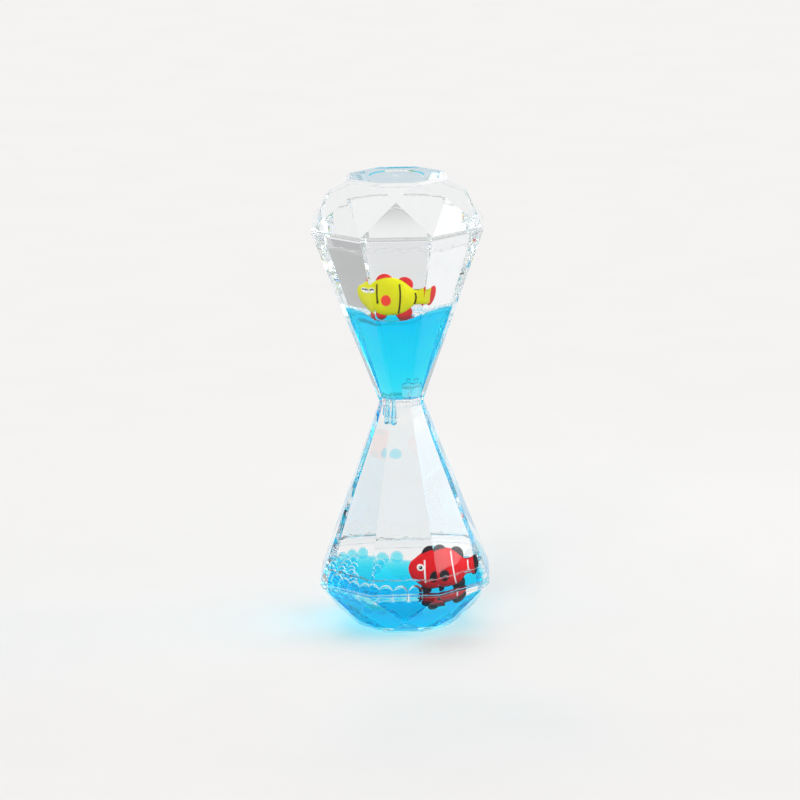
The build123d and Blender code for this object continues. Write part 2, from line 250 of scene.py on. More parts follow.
def facet_lines(inset):
    """Star facet, girdle triangle and kite."""
    star = facet_line((peak_radius, peak_height), (table_apothem, 0), inset)
    triangle = facet_line((girdle_apothem, crown_height), (peak_radius, peak_height), inset)
    kite = facet_line((girdle_corner, crown_height), (table_corner, 0), inset)
    return star, triangle, kite


def gem_corners(inset, table, apothem):
    """Table corners, facet peaks and girdle corners.

    They are the star's line at the table's height, the meeting of the star's and the triangle's lines, and
    the triangle's line at the girdle's apothem.
    """
    star, triangle, _ = facet_lines(inset)
    table_at = star[0] + (table - star[1]) / star[2]
    rise = triangle[1] - star[1] + star[2] * star[0] - triangle[2] * triangle[0]
    peak_at = rise / (star[2] - triangle[2])
    peak_up = star[1] + star[2] * (peak_at - star[0])
    girdle_up = triangle[1] + triangle[2] * (apothem - triangle[0])
    peaks = polar(peak_at, np.radians(45 * np.arange(corners)), peak_up)
    return octagon(table_at, table), peaks, octagon(apothem, girdle_up)


def circle(radius, height, count=bore_points, middle=(0.0, 0.0)):
    """Ring of points that starts at the first corner's azimuth."""
    return polar(radius, corner_angle + 2 * np.pi * np.arange(count) / count, height) + [*middle, 0]


table_t, peak_t, girdle_t = gem_corners(0.0, 0.0, girdle_apothem)
table_i, peak_i, girdle_i = gem_corners(crown_wall, crown_wall, girdle_apothem - wall - lip_inset)
lip_rings = [
    girdle_t,
    octagon(girdle_apothem, seam_height - seam_crack),
    octagon(girdle_apothem - wall + lip_bite, seam_height - seam_crack),
    octagon(girdle_apothem - wall + lip_bite, girdle_top),
    octagon(inside_apothem(lip_end) + lip_bite, lip_end),
    octagon(inside_apothem(lip_end) - lip_inset, lip_end),
    octagon(girdle_apothem - wall - lip_inset, girdle_top),
    girdle_i,
]
bore_rings = [
    circle(bore_radius, crown_wall),
    circle(bore_radius, seat_depth),
    circle(seat_radius, seat_depth),
    circle(seat_radius, 0.0),
]
rub_share = 0.18
rub_left = table_t + rub_share * (peak_t - table_t)
rub_right = table_t + rub_share * (np.roll(peak_t, -1, axis=0) - table_t)
crown_points = np.concatenate(
    [table_t, peak_t, *lip_rings, table_i, peak_i, *bore_rings, rub_left, rub_right]
)
lip_first = 2 * corners
inner_first = lip_first + len(lip_rings) * corners
bore_first = inner_first + 2 * corners
rub_first = bore_first + len(bore_rings) * bore_points
rub_end = rub_first + 2 * corners
step = np.arange(corners)
back, ahead = (step - 1) % corners, (step + 1) % corners
table_0, peak_0, girdle_0 = step, corners + step, lip_first + step
table_1, peak_1, girdle_1 = inner_first + step, inner_first + corners + step, inner_first - corners + step
left_0, right_0 = rub_first + step, rub_first + corners + step


def table_ring(table, bore):
    """Eight faces from the table's edges in to the round hole, with nine points of the hole in each."""
    arc_points = bore_points // corners
    arc = (back[:, None] * arc_points + np.arange(arc_points + 1)[None, :]) % bore_points
    return np.concatenate([table[:, None], table[back][:, None], bore + arc], axis=1)


def crown_edge_share(first, second):
    """Full rounding round the table, half round the girdle, a trace between facets and none inside."""
    table = second < corners
    girdle = (first >= lip_first) & (second < lip_first + 2 * corners)
    facet = (second < lip_first + corners) | (second >= rub_first) & (second < rub_end)
    return np.where(table, 1.0, np.where(girdle, 0.5, np.where(facet, 0.15, 0.0)))


outer_facets = [
    np.stack([right_0[back], left_0, peak_0], axis=1),
    np.stack([right_0, peak_0[ahead], girdle_0, peak_0, left_0], axis=1),
    np.stack([peak_0, girdle_0, girdle_0[back]], axis=1),
]
dull_rim = [
    np.stack([table_0[back], table_0, left_0, right_0[back]], axis=1),
    np.stack([table_0, right_0, left_0], axis=1),
]
inner_facets = [
    np.stack([table_1[back], table_1, peak_1], axis=1),
    np.stack([table_1, peak_1[ahead], girdle_1, peak_1], axis=1),
    np.stack([peak_1, girdle_1, girdle_1[back]], axis=1),
]
worn_edge, in_lip, glue_bead, rubbed_dull = range(3, 7)
lip_faces = strips(len(lip_rings), corners, first=lip_first)
girdle_band, lip_seat, lip_inside = np.split(lip_faces, [corners, 4 * corners])
crown_blocks = [(block, in_air) for block in outer_facets] + [(block, rubbed_dull) for block in dull_rim]
crown_blocks += [(girdle_band, in_air), (lip_seat, in_glue), (lip_inside, in_lip)]
crown_blocks += [(block[:, ::-1], in_liquid) for block in inner_facets]
crown_blocks += [(table_ring(table_0, bore_first + 3 * bore_points), in_air)]
crown_blocks += [(strips(len(bore_rings), bore_points, first=bore_first), in_glue)]
crown_blocks += [(table_ring(table_1, bore_first)[:, ::-1], in_liquid)]


def from_nearest(azimuth, first):
    """Turn from the nearest of eight directions, of which the first is given."""
    away = azimuth - first
    return away - side_angle * np.round(away / side_angle)


# The glue that holds the crown wells up over the end of the lip in a thin uneven bead. It dried grey-brown on
# the left of the lower end. The bead is a six-sided ring whose thickness and height are sums of sines.
glue_count, glue_sides = 384, 6
glue_turn = 2 * np.pi * np.arange(glue_count) / glue_count
glue_wave = 0.16 * np.sin(17 * glue_turn + 1.0) + 0.12 * np.sin(41 * glue_turn)
glue_wave = glue_wave + 0.1 * np.sin(73 * glue_turn + 2.0)
glue_thick = 0.2 + 0.09 * np.sin(29 * glue_turn) + 0.07 * np.sin(61 * glue_turn + 0.4)
glue_round = 2 * np.pi * np.arange(glue_sides) / glue_sides
glue_reach = (inside_apothem(lip_end) - 0.35 + 0.6 * glue_wave) / np.cos(from_nearest(glue_turn, 0.0))
glue_out = glue_reach[:, None] + glue_thick[:, None] * np.cos(glue_round)
glue_up = lip_end + 0.25 + glue_wave[:, None] + glue_thick[:, None] * np.sin(glue_round)
glue_points = polar(glue_out, glue_turn[:, None], glue_up).reshape(-1, 3)
glue_faces = strips(glue_count, glue_sides, closed=True, first=len(crown_points))
crown_blocks += [(glue_faces[:, ::-1], glue_bead)]
crown_points = np.concatenate([crown_points, glue_points])
lip_plastic = clear_polystyrene("clear_polystyrene_lip_in_liquid", 1.035)
glue, tree, place = blank_material("dried_clear_glue")
bubbles = add_node(tree, "TexNoise", {"Vector": place, "Scale": 1 / (0.8 * MM), "Detail": 2.0})
across = add_node(tree, "SeparateXYZ", {0: place})
laid_on = add_node(
    tree, "MapRange",
    {"Value": across.outputs["X"], "From Min": 2 * MM, "From Max": -14 * MM, "To Min": 0.0, "To Max": 1.5},
)
lower_end = add_node(
    tree, "MapRange", {"Value": across.outputs["Z"], "From Min": 80 * MM, "From Max": 60 * MM}
)
aged = add_node(tree, "Math", {0: laid_on, 1: lower_end}, operation="MULTIPLY")
browned = add_node(tree, "Math", {0: aged, 1: bubbles}, operation="MULTIPLY", use_clamp=True)
dried = add_node(
    tree, "Mix", {"Factor": browned, "A": linear("FBFAF9"), "B": linear("9A918A")}, data_type="RGBA"
)
resin = add_node(
    tree, "BsdfPrincipled",
    {"Base Color": dried, "Roughness": 0.2, "IOR": 1.02, "Transmission Weight": 0.85},
)
add_node(tree, "OutputMaterial", {"Surface": resin})
for name, points, turn in two_halves("crown", crown_points):
    crown = make_piece(
        f"{name}_shell", points, crown_blocks, "vessel",
        (outer_plastic, inner_plastic, glued_plastic, worn_plastic, lip_plastic, glue, dull_plastic),
        [name], turn,
    )
    round_edges(crown, crown_rounding, crown_edge_share, (in_air, glue_bead, rubbed_dull), worn_edge)

# The fill plugs are moulded stoppers of the same plastic, pressed and glued into the tables after filling.
# Their heads lie 0.2 mm deep, and a dimple is left where the plastic ran into the mould.
plug_profile = np.array([
    (0.0, 0.6), (0.55, 0.58), (0.8, 0.45), (0.9, 0.25), (1.1, 0.2), (7.75, 0.2), (8.0, 0.45),
    (8.0, 1.37), (5.6, 1.37), (5.5, 1.5), (5.5, 2.7), (5.3, 2.9), (0.0, 2.9),
])
plug_count = 64


def fans(count, last):
    """Triangles that close a stack of rings, at point 0 below the first ring and at the last point above."""
    around = np.arange(count)
    after = (around + 1) % count
    lower = np.stack([1 + after, 1 + around, np.zeros(count, int)], axis=1)
    upper = np.stack([last - count + around, last - count + after, np.full(count, last)], axis=1)
    return lower, upper


def turned(profile, middle, count):
    """Surface of revolution: radii and heights of a profile carried round an upright line, ends closed."""
    rings = [circle(radius, height, count, middle) for radius, height in profile[1:-1]]
    points = np.concatenate([[[*middle, profile[0][1]]], *rings, [[*middle, profile[-1][1]]]])
    return points, [strips(len(rings), count, first=1), *fans(count, len(points) - 1)]


plug_points, (plug_sides, plug_dimple, plug_end) = turned(plug_profile, (0.0, 0.0), plug_count)
plug_mark, plug_head, plug_shank = np.split(plug_sides, [2 * plug_count, 5 * plug_count])
gate_mark = 3
plug_blocks = [(plug_mark, gate_mark), (plug_head, in_air), (plug_shank, in_glue)]
plug_blocks += [(plug_dimple, gate_mark), (plug_end, in_liquid)]
for name, points, turn in two_halves("fill_plug", plug_points):
    make_piece(
        f"{name}_stopper", points, plug_blocks, "vessel",
        (outer_plastic, inner_plastic, glued_plastic, dull_plastic), [name], turn,
    )

# The nozzle plate is a clear moulded disc clamped between the two necks, whose thin flange is the waist line.
# The drip nozzle hangs from it into the lower chamber and the riser stands on it, both pressed into holes.
flange_depth = 0.6
plate_mesh = bpy.data.meshes.new("nozzle_plate_disc")
merged = bmesh.new()
merged.from_mesh(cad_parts["nozzle_plate"].data)
bmesh.ops.remove_doubles(merged, verts=merged.verts, dist=1e-6)
merged.to_mesh(plate_mesh)
merged.free()
plate_mesh.materials.clear()
plate_mesh.materials.append(glued_plastic)
plate_mesh.materials.append(outer_plastic)
facing = np.empty(3 * len(plate_mesh.polygons))
plate_mesh.polygons.foreach_get("normal", facing)
middle = np.empty(3 * len(plate_mesh.polygons))
plate_mesh.polygons.foreach_get("center", middle)
facing, middle = facing.reshape(-1, 3), middle.reshape(-1, 3) / MM
on_rim = (np.abs(facing[:, 2]) < 0.5) & (np.hypot(middle[:, 0], middle[:, 1]) > neck_apothem - flange_depth)
plate_mesh.polygons.foreach_set("material_index", on_rim.astype(np.int32))
plate = bpy.data.objects.new("nozzle_plate_disc", plate_mesh)
scene.collection.objects.link(plate)
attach(plate, "vessel")
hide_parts("nozzle_plate")
for name in ("drip_nozzle", "riser_nozzle"):
    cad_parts[name].data.materials.clear()
    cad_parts[name].data.materials.append(clear_polystyrene(f"clear_tube_of_{name}", 1.06))

# The dyed water is blue food dye in water. It fills the lower crown and half the height of the upper chamber,
# wets the walls in a small meniscus, runs down the drip nozzle and hangs from its tip as the next drop.
upper_level, lower_level, upper_floor, lower_ceiling = 97.5, 12.5, 69.1, 65.9
nozzle_offset, soak = 2.4, 0.03
pool_floor = crown_wall + 0.02
outline_count = 128
outline = corner_angle + 2 * np.pi * np.arange(outline_count) / outline_count


def room_radius(height):
    """Reach of the liquid at each azimuth: the nearest of all facet planes, each an apothem over a cosine."""
    mouth = inside_apothem(height) + soak - np.where(height < lip_end, lip_inset, 0)
    star, triangle, kite = [
        line[0] + (height - line[1]) / line[2] for line in facet_lines(crown_wall - soak)
    ]
    flats = np.minimum(np.minimum(star, triangle), mouth) / np.cos(from_nearest(outline, 0.0))
    return np.minimum(flats, kite / np.cos(from_nearest(outline, corner_angle)))


def upper_radius(height):
    """Reach of the liquid in the upper half: the lower half's, mirrored."""
    return room_radius(2 * neck_height - height)


def swell(level, x, y, rise, reach, spot):
    """Height of a liquid's surface: slow waves, rings round the spot of landing drops, a rise at the wall."""
    waves = 0.04 * np.sin(0.42 * x + 0.9) * np.cos(0.37 * y) + 0.02 * np.sin(0.9 * y + 0.5 * x)
    away = np.hypot(x - spot, y)
    rings = 0.05 * np.cos(1.5 * away) * np.exp(-away / 5)
    return level + waves * 0.6 + rings + rise * np.exp(-reach / (0.4 + 0.55 * np.abs(rise)))


def liquid_top(level, reach, rise, spot, dip, rows=26):
    """Rings of a liquid's surface from the wall in to the middle, spaced closer at the wall.

    A float that presses on the surface leaves a flat-ended dip of a given depth, place and half sizes.
    """
    share = np.linspace(1, 0, rows)[:-1, None] ** 0.7
    ripple = rise * (1 + 0.35 * np.sin(9 * outline + 0.6) + 0.25 * np.sin(23 * outline))
    depth, dip_x, dip_y, half_x, half_y = dip

    def height(edge, share):
        x, y = share * edge * np.cos(outline), share * edge * np.sin(outline)
        hollow = depth * np.exp(-((x - dip_x) / half_x) ** 4 - ((y - dip_y) / half_y) ** 2)
        return x, y, swell(level, x, y, ripple, (1 - share) * edge, spot) - hollow

    edge = reach(np.full(outline_count, level))
    edge = reach(height(edge, 1.0)[2])
    return np.stack(height(edge, share), axis=-1).reshape(-1, 3)


def stacked(reach, heights):
    """Rings of a liquid's wall, from its reach at each height."""
    edges = np.stack([reach(height) for height in heights])
    return polar(edges, outline, heights[:, None]).reshape(-1, 3)


def closed_body(lower_rings, upper_rings, bottom, top):
    """Rings of points closed by fans of faces at the heights of a bottom and a top on the axis."""
    points = np.concatenate([[(0, 0, bottom)], lower_rings, upper_rings, [(0, 0, top)]])
    rows = len(points) // outline_count
    return points, [strips(rows, outline_count, first=1), *fans(outline_count, len(points) - 1)]


def joined(*bodies):
    """Several closed surfaces in one mesh."""
    shift = np.cumsum([0] + [len(points) for points, _ in bodies[:-1]])
    points = np.concatenate([points for points, _ in bodies])
    return points, [block + int(first) for first, (_, blocks) in zip(shift, bodies) for block in blocks]


def inside_out(body):
    """The same surface with its faces turned."""
    points, blocks = body
    return points, [block[:, ::-1] for block in blocks]


ball = [math.radians(turn) for turn in np.linspace(-90, 90, 13)]
column_profile = [(1.05 * math.cos(turn), 60.65 + 1.1 * math.sin(turn)) for turn in ball[:11]]
column_profile += [(0.85, 61.8), (0.85, 69.3), (0.0, 69.3)]
riser_room = [(0.0, 69.05), (2.1, 69.05), (2.2, 70.4), (2.3, 71.8), (2.2, 73.0), (1.7, 73.7), (1.0, 73.9)]
riser_room += [(1.05 * math.cos(turn), 74.8 + 1.0 * math.sin(turn)) for turn in ball[3:]]

# The water leaves a hollow round the riser, deeper from front to back than wide and ragged at its shoulder.
riser_points, riser_blocks = turned(riser_room, (nozzle_offset, 0.0), 48)
ragged = np.arctan2(riser_points[:, 1], riser_points[:, 0] - nozzle_offset)
shoulder = np.clip(1 - np.abs(riser_points[:, 2] - 73.2), 0, 1)
riser_points[:, 2] += shoulder * (0.3 * np.sin(5 * ragged) + 0.25 * np.sin(9 * ragged + 1.0))
riser_points[:, 1] *= np.where(riser_points[:, 2] < 74.0, 1.5, 1.0)
upper_walls = stacked(upper_radius, np.linspace(upper_floor - soak, upper_level - 5.2, 12))
upper_surface = liquid_top(upper_level, upper_radius, 0.5, 30.0, (3.3, -2.6, -14.5, 8.5, 3.2))
upper_water = joined(
    closed_body(upper_walls, upper_surface, upper_floor - soak, upper_level),
    turned(column_profile, (-nozzle_offset, 0.0), 32),
    inside_out((riser_points, riser_blocks)),
)
lower_walls = stacked(room_radius, np.concatenate([[pool_floor], np.linspace(2.8, 9.6, 24)]))
lower_surface = liquid_top(lower_level, room_radius, -1.2, -nozzle_offset, (0.8, 9.0, -9.5, 8.0, 5.0))
lower_water = closed_body(lower_walls, lower_surface, pool_floor, lower_level)


# Water with a blue food dye: clear, and it takes red out first, so a thin film is cyan and a deep pool azure.
# Its index is a ratio to that of the oil around it. Small swirls of unmixed dye make it a little uneven.
def dyed_water(name, index, strength):
    material, tree, place = blank_material(name)
    swirl = add_node(
        tree, "TexNoise", {"Vector": place, "Scale": 1 / (7 * MM), "Detail": 2.0, "Distortion": 0.6}
    )
    tint = add_node(
        tree, "Mix", {"Factor": swirl, "A": linear("FFFFFF"), "B": linear("EAF8FF")}, data_type="RGBA"
    )
    ripple = add_node(tree, "Bump", {"Height": swirl, "Strength": 0.2, "Distance": 0.1 * MM})
    water = add_node(tree, "BsdfGlass", {"Color": tint, "Roughness": 0.0, "IOR": index, "Normal": ripple})
    dye = add_node(tree, "VolumeAbsorption", {"Color": (0.0, 0.945, 0.996, 1), "Density": strength})
    surface = lit_through(tree, water, linear("FFFFFF"))
    add_node(tree, "OutputMaterial", {"Surface": surface, "Volume": dye})
    return material


high_water = dyed_water("blue_dyed_water_above", 0.907, 280.0)
pool_water = dyed_water("blue_dyed_water", 0.985, 280.0)
bead_water = dyed_water("blue_dyed_water_in_beads", 0.92, 330.0)
foam_water = dyed_water("pale_foam_of_water", 0.86, 40.0)
drop_water = dyed_water("blue_dyed_water_in_oil", 0.998, 110.0)


def smooth_piece(name, surface, body, material, node):
    """Smooth piece of one material, from a surface's points and blocks of faces."""
    points, blocks = surface
    make_piece(name, points, [(block, 0) for block in blocks], body, (material,), [node], smooth=True)


for name, surface, dyed in (
    ("upper_dyed_water", upper_water, high_water),
    ("lower_dyed_water", lower_water, pool_water),
):
    smooth_piece(f"{name}_pool", surface, "vessel", dyed, name)


# The clear oil is white mineral oil, which floats on the water and fills the rest of each half. Inside the
# plastic it has no surface of its own: it shows only as faint streaks where drops have passed.
def from_the_middle(surface):
    """Rings of a liquid's surface in the other order, from the middle out to the wall."""
    return surface.reshape(-1, outline_count, 3)[::-1].reshape(-1, 3)


oil_walls = stacked(upper_radius, np.concatenate([
    np.linspace(upper_level + 1.6, 117.0, 12), [117.08, 117.12], np.linspace(119.9, 132.2, 24),
]))
upper_top = 2 * neck_height - crown_wall - soak
upper_oil = closed_body(from_the_middle(upper_surface), oil_walls, upper_level, upper_top)
low_walls = stacked(room_radius, np.concatenate([
    [13.4, 14.2, 15.1, 17.88, 17.92], np.linspace(19.0, lower_ceiling + soak, 12),
]))
lower_oil = closed_body(from_the_middle(lower_surface), low_walls, lower_level, lower_ceiling + soak)
oil, tree, place = blank_material("white_mineral_oil")
stretch = add_node(tree, "Mapping", {"Vector": place, "Scale": (1.0, 1.0, 0.15)})
streaks = add_node(tree, "TexNoise", {"Vector": stretch, "Scale": 1 / (3 * MM), "Detail": 2.0})
veil = add_node(
    tree, "Mix", {"Factor": streaks, "A": linear("FFFFFF"), "B": linear("FBFDFD")}, data_type="RGBA"
)
clear = add_node(tree, "BsdfTransparent", {"Color": veil})
add_node(tree, "OutputMaterial", {"Surface": clear})
for name, surface in (("upper_clear_oil", upper_oil), ("lower_clear_oil", lower_oil)):
    smooth_piece(f"{name}_fill", surface, "vessel", oil, name)

# Beads of dyed water that have not yet run together float where the two liquids meet, in rows along the wall.
# Each is a drop flattened a little by its own weight.
bead_gap = 0.3


def bead_row(ring, size, level, start, stop):
    """Middles and sizes of a row of beads on an arc, side by side with a small gap between them."""
    pitch = (size + bead_gap) / ring
    azimuth = np.radians(start) + pitch * np.arange(int(math.radians(stop - start) / pitch) + 1)
    return polar(ring, azimuth, level + size / 4), np.full(len(azimuth), size)


def flattened_drops(middles, sizes, rows=15, columns=24):
    """Drops a tenth less high than wide: the ball's sine and cosine, a little wider towards the foot."""
    up = np.linspace(-np.pi / 2, np.pi / 2, rows)[1:-1]
    turn = 2 * np.pi * np.arange(columns) / columns
    drawn = np.cos(up) * (1 - 0.06 * np.sin(up))
    ring = polar(drawn[:, None], turn, 0.9 * np.sin(up)[:, None]).reshape(-1, 3)
    shape = np.concatenate([[[0, 0, -0.9]], ring, [[0, 0, 0.9]]])
    points = middles[:, None, :] + shape[None, :, :] * sizes[:, None, None] / 2
    first = np.arange(len(middles))[:, None, None] * len(shape)
    blocks = [strips(rows - 2, columns, first=1), *fans(columns, len(shape) - 1)]
    return points.reshape(-1, 3), [(first + block[None]).reshape(-1, block.shape[1]) for block in blocks]


upper_ring = float(inside_apothem(2 * neck_height - upper_level + 0.4)) - 0.8 - bead_gap
wall_ring = float(inside_apothem(lip_end)) - lip_inset - 2.1 - bead_gap
middle_ring = wall_ring - 3.8 - bead_gap
inner_ring = middle_ring - 3.2 - bead_gap
upper_beads = [bead_row(upper_ring, 1.6, upper_level, -38, 214)]
lower_beads = [
    bead_row(wall_ring, 4.2, lower_level, 98, 286),
    bead_row(middle_ring, 3.4, lower_level, 122, 226),
    bead_row(inner_ring, 3.0, lower_level, 142, 206),
]
for name, body, rows, dyed in (
    ("upper_bead_raft", "upper_beads", upper_beads, foam_water),
    ("lower_bead_raft", "lower_beads", lower_beads, bead_water),
):
    middles, sizes = [np.concatenate(values) for values in zip(*rows)]
    smooth_piece(f"{name}_drops", flattened_drops(middles, sizes), body, dyed, name)

# One drop of water on its way down from the nozzle to the pool. It is wider at the foot than at the top, from
# falling through the oil, and has drifted a little off the nozzle's line.
drop_height, drop_half_width, drop_half_height, drop_drift = 51.0, 1.9, 1.6, (0.4, -1.2)
fall = np.radians(np.linspace(-90, 90, 19))
drop_shape = np.stack([
    drop_half_width * np.cos(fall) * (1 - 0.14 * np.sin(fall)),
    drop_height + drop_half_height * np.sin(fall) + 0.1 * np.sin(fall) ** 2,
], axis=1)
falling = turned(drop_shape, (drop_drift[0] - nozzle_offset, drop_drift[1]), 40)
smooth_piece("falling_drop_of_water", falling, "drop", drop_water, "falling_drop")

# The two fish are hollow floats from one mould: two half shells of solid-coloured plastic glued along the
# middle, with the fins as a second shot between them and a steel weight in the belly. Eye, stripes and spot
# are printed.
fish_x = np.array([-7.5, -6.4, -5.3, -4.4, -3.0, -1.0, 1.0, 3.0, 5.0, 6.6, 7.6, 8.4, 9.6, 10.7])
fish_mid = np.array([1.0, 0.6, 0.4, 0.3, 0.15, 0.15, 0.15, 0.05, -0.1, -0.2, -0.2, -0.2, -0.1, 0.0])
fish_tall = np.array([2.4, 3.0, 3.55, 4.25, 5.25, 5.95, 6.0, 5.7, 4.8, 3.4, 2.5, 2.25, 2.4, 2.7])
fish_wide = np.array([1.5, 2.0, 2.45, 2.8, 3.15, 3.45, 3.45, 3.15, 2.6, 1.95, 1.5, 1.25, 1.1, 1.0])
fish_nose, fish_end, fish_length, nose_round = -7.5, 10.7, 18.2, 1.9
hollow_half, hollow_tall, hollow_wide, shell_wall = 6.3, 5.0, 2.4, 0.9


def curve_through(x, values):
    """Smooth curve through the fish's stations: cubic pieces with the slopes of numpy's gradient there."""
    slope = np.gradient(values, fish_x)
    index = np.clip(np.searchsorted(fish_x, x) - 1, 0, len(fish_x) - 2)
    span = fish_x[index + 1] - fish_x[index]
    t = (x - fish_x[index]) / span
    return (
        (2 * t**3 - 3 * t**2 + 1) * values[index] + (t**3 - 2 * t**2 + t) * span * slope[index]
        + (3 * t**2 - 2 * t**3) * values[index + 1] + (t**3 - t**2) * span * slope[index + 1]
    )


def half_fish(side, rows=200, columns=72):
    """Half shell: ellipses of changing height and width carried along the fish, closed by an inner wall.

    Each ring runs over the outside from back to belly and returns along the hollow. The nose is rounded by
    the root of one minus a square, and the eye is raised by a bell curve. Rings are closer at the nose.
    """
    u = np.linspace(0, 1, rows)
    along = np.where(u < 0.25, 1.6 * u**2 + 0.2 * u, 0.15 + 1.1333333 * (u - 0.25))
    x = np.concatenate([fish_nose + fish_length * along, [fish_end]])
    nose_from = fish_nose + nose_round
    nose = np.sqrt(np.clip(1 - ((nose_from - np.minimum(x, nose_from)) / nose_round) ** 2, 0, 1))
    end = np.where(np.arange(len(x)) == len(x) - 1, 0.0, 1.0) * nose
    angle = np.linspace(np.pi / 2, -np.pi / 2, columns)
    tall, wide = curve_through(x, fish_tall) * end, curve_through(x, fish_wide) * end
    out_x = np.repeat(x[:, None], columns, axis=1)
    out_y = wide[:, None] * np.cos(angle)
    out_z = curve_through(x, fish_mid)[:, None] + tall[:, None] * np.sin(angle)
    eye = np.exp(-(((out_x + 4.85) / 0.9) ** 2 + ((out_z - 2.0) / 0.8) ** 2))
    out_y = out_y + 0.28 * eye * (np.cos(angle) > 0.2)
    hollow_x = (x - fish_nose) * (2 * hollow_half / fish_length) - hollow_half
    room = np.sqrt(np.clip(1 - (hollow_x / hollow_half) ** 2, 0, 1))
    limit = np.minimum(hollow_tall * room, curve_through(hollow_x, fish_tall) - shell_wall) * (room > 0.02)
    in_x = np.repeat(hollow_x[:, None], columns, axis=1)
    in_y = hollow_wide * room[:, None] * np.cos(angle[::-1])
    in_z = curve_through(hollow_x, fish_mid)[:, None] + limit[:, None] * np.sin(angle[::-1])
    grid = np.stack([
        np.concatenate([out_x, in_x], axis=1),
        side * np.concatenate([out_y, in_y], axis=1),
        np.concatenate([out_z, in_z], axis=1),
    ], axis=-1)
    return grid.reshape(-1, 3), strips(len(x), 2 * columns)[:, ::-side]


def edge(distance, half, soft=0.07):
    """Printed ink: 1 inside a half width, fading to 0 over a soft edge."""
    return np.clip((half + soft - distance) / (2 * soft), 0, 1)


def stroke(x, z, start, end, bend, half):
    """Ink of a stroke: distance to a line from start to end that bows sideways by a bend, with round ends."""
    dx, dz = end[0] - start[0], end[1] - start[1]
    length = math.hypot(dx, dz)
    along = np.clip(((x - start[0]) * dx + (z - start[1]) * dz) / length**2, 0, 1)
    bow = bend * 4 * along * (1 - along)
    off_x = x - start[0] - along * dx + bow * dz / length
    off_z = z - start[1] - along * dz - bow * dx / length
    return edge(np.hypot(off_x, off_z), half)


def patch(x, z, middle, half_length, half_height):
    """Ink of an oval: the radius in units of its half axes, measured back in mm."""
    share = np.hypot((x - middle[0]) / half_length, (z - middle[1]) / half_height)
    return edge((share - 1) * min(half_length, half_height), 0.0)


def yellow_print(x, z):
    """Prints of the yellow fish: brown stripes, red cheek spot, white eye patch and its closed black lash."""
    stripes = np.maximum.reduce([
        stroke(x, z, (-3.0, 4.0), (-2.95, -1.7), -0.1, 0.24),
        stroke(x, z, (3.55, 3.8), (3.05, -5.2), 0.35, 0.26),
        stroke(x, z, (8.1, 0.95), (7.75, -2.2), 0.3, 0.26),
        patch(x, z, (-2.95, -1.5), 0.36, 0.6),
    ])
    white = patch(x, z, (-4.95, 2.2), 1.35, 0.85)
    lash = np.maximum(
        stroke(x, z, (-5.9, 2.3), (-5.0, 2.3), 0.25, 0.22),
        stroke(x, z, (-5.0, 2.3), (-4.1, 2.35), 0.25, 0.24),
    )
    return {"stripe": stripes, "spot": patch(x, z, (-0.5, -1.1), 1.45, 1.75), "white": white, "pupil": lash}


def red_print(x, z):
    """Prints of the red fish: white bands, black side fin, white eye ring and its black pupil."""
    bands = np.maximum.reduce([
        stroke(x, z, (-3.3, 3.6), (-3.2, -2.9), -0.35, 0.22),
        stroke(x, z, (3.0, 5.2), (3.7, -4.6), -0.4, 0.22),
        stroke(x, z, (8.7, 1.7), (8.8, -1.6), -0.25, 0.2),
    ])
    eye = patch(x, z, (-4.75, 1.8), 0.98, 0.98)
    pupil = patch(x, z, (-4.75, 1.8), 0.55, 0.55) * (1 - patch(x, z, (-4.95, 2.0), 0.16, 0.16))
    return {"stripe": bands, "spot": patch(x, z, (-0.4, -1.4), 1.75, 1.9), "white": eye, "pupil": pupil}


# Solid-dyed ABS with a soft moulded sheen, and pad-printed ink on top. In oil it hardly shines, so its colour
# is full and even, with slight cloudiness from the mould.
def printed_plastic(name, body, shade, stripe, spot):
    material, tree, place = blank_material(name)
    cloud = add_node(tree, "TexNoise", {"Vector": place, "Scale": 1 / (4 * MM), "Detail": 2.0})
    grain = add_node(tree, "TexNoise", {"Vector": place, "Scale": 1 / (0.35 * MM), "Detail": 2.0})
    colour = add_node(
        tree, "Mix", {"Factor": cloud, "A": linear(body), "B": linear(shade)}, data_type="RGBA"
    )
    for layer, ink in (("spot", spot), ("stripe", stripe), ("white", "F7F7F2"), ("pupil", "17130F")):
        printed = add_node(tree, "Attribute", attribute_name=layer)
        colour = add_node(
            tree, "Mix",
            {"Factor": printed.outputs["Fac"], "A": colour, "B": linear(ink)},
            data_type="RGBA",
        )
    rough = add_node(tree, "MapRange", {"Value": cloud, "To Min": 0.3, "To Max": 0.5})
    bump = add_node(tree, "Bump", {"Height": grain, "Strength": 0.15, "Distance": 0.05 * MM})
    plastic = add_node(
        tree, "BsdfPrincipled", {"Base Color": colour, "Roughness": rough, "IOR": 1.15, "Normal": bump}
    )
    add_node(tree, "OutputMaterial", {"Surface": plastic})
    return material


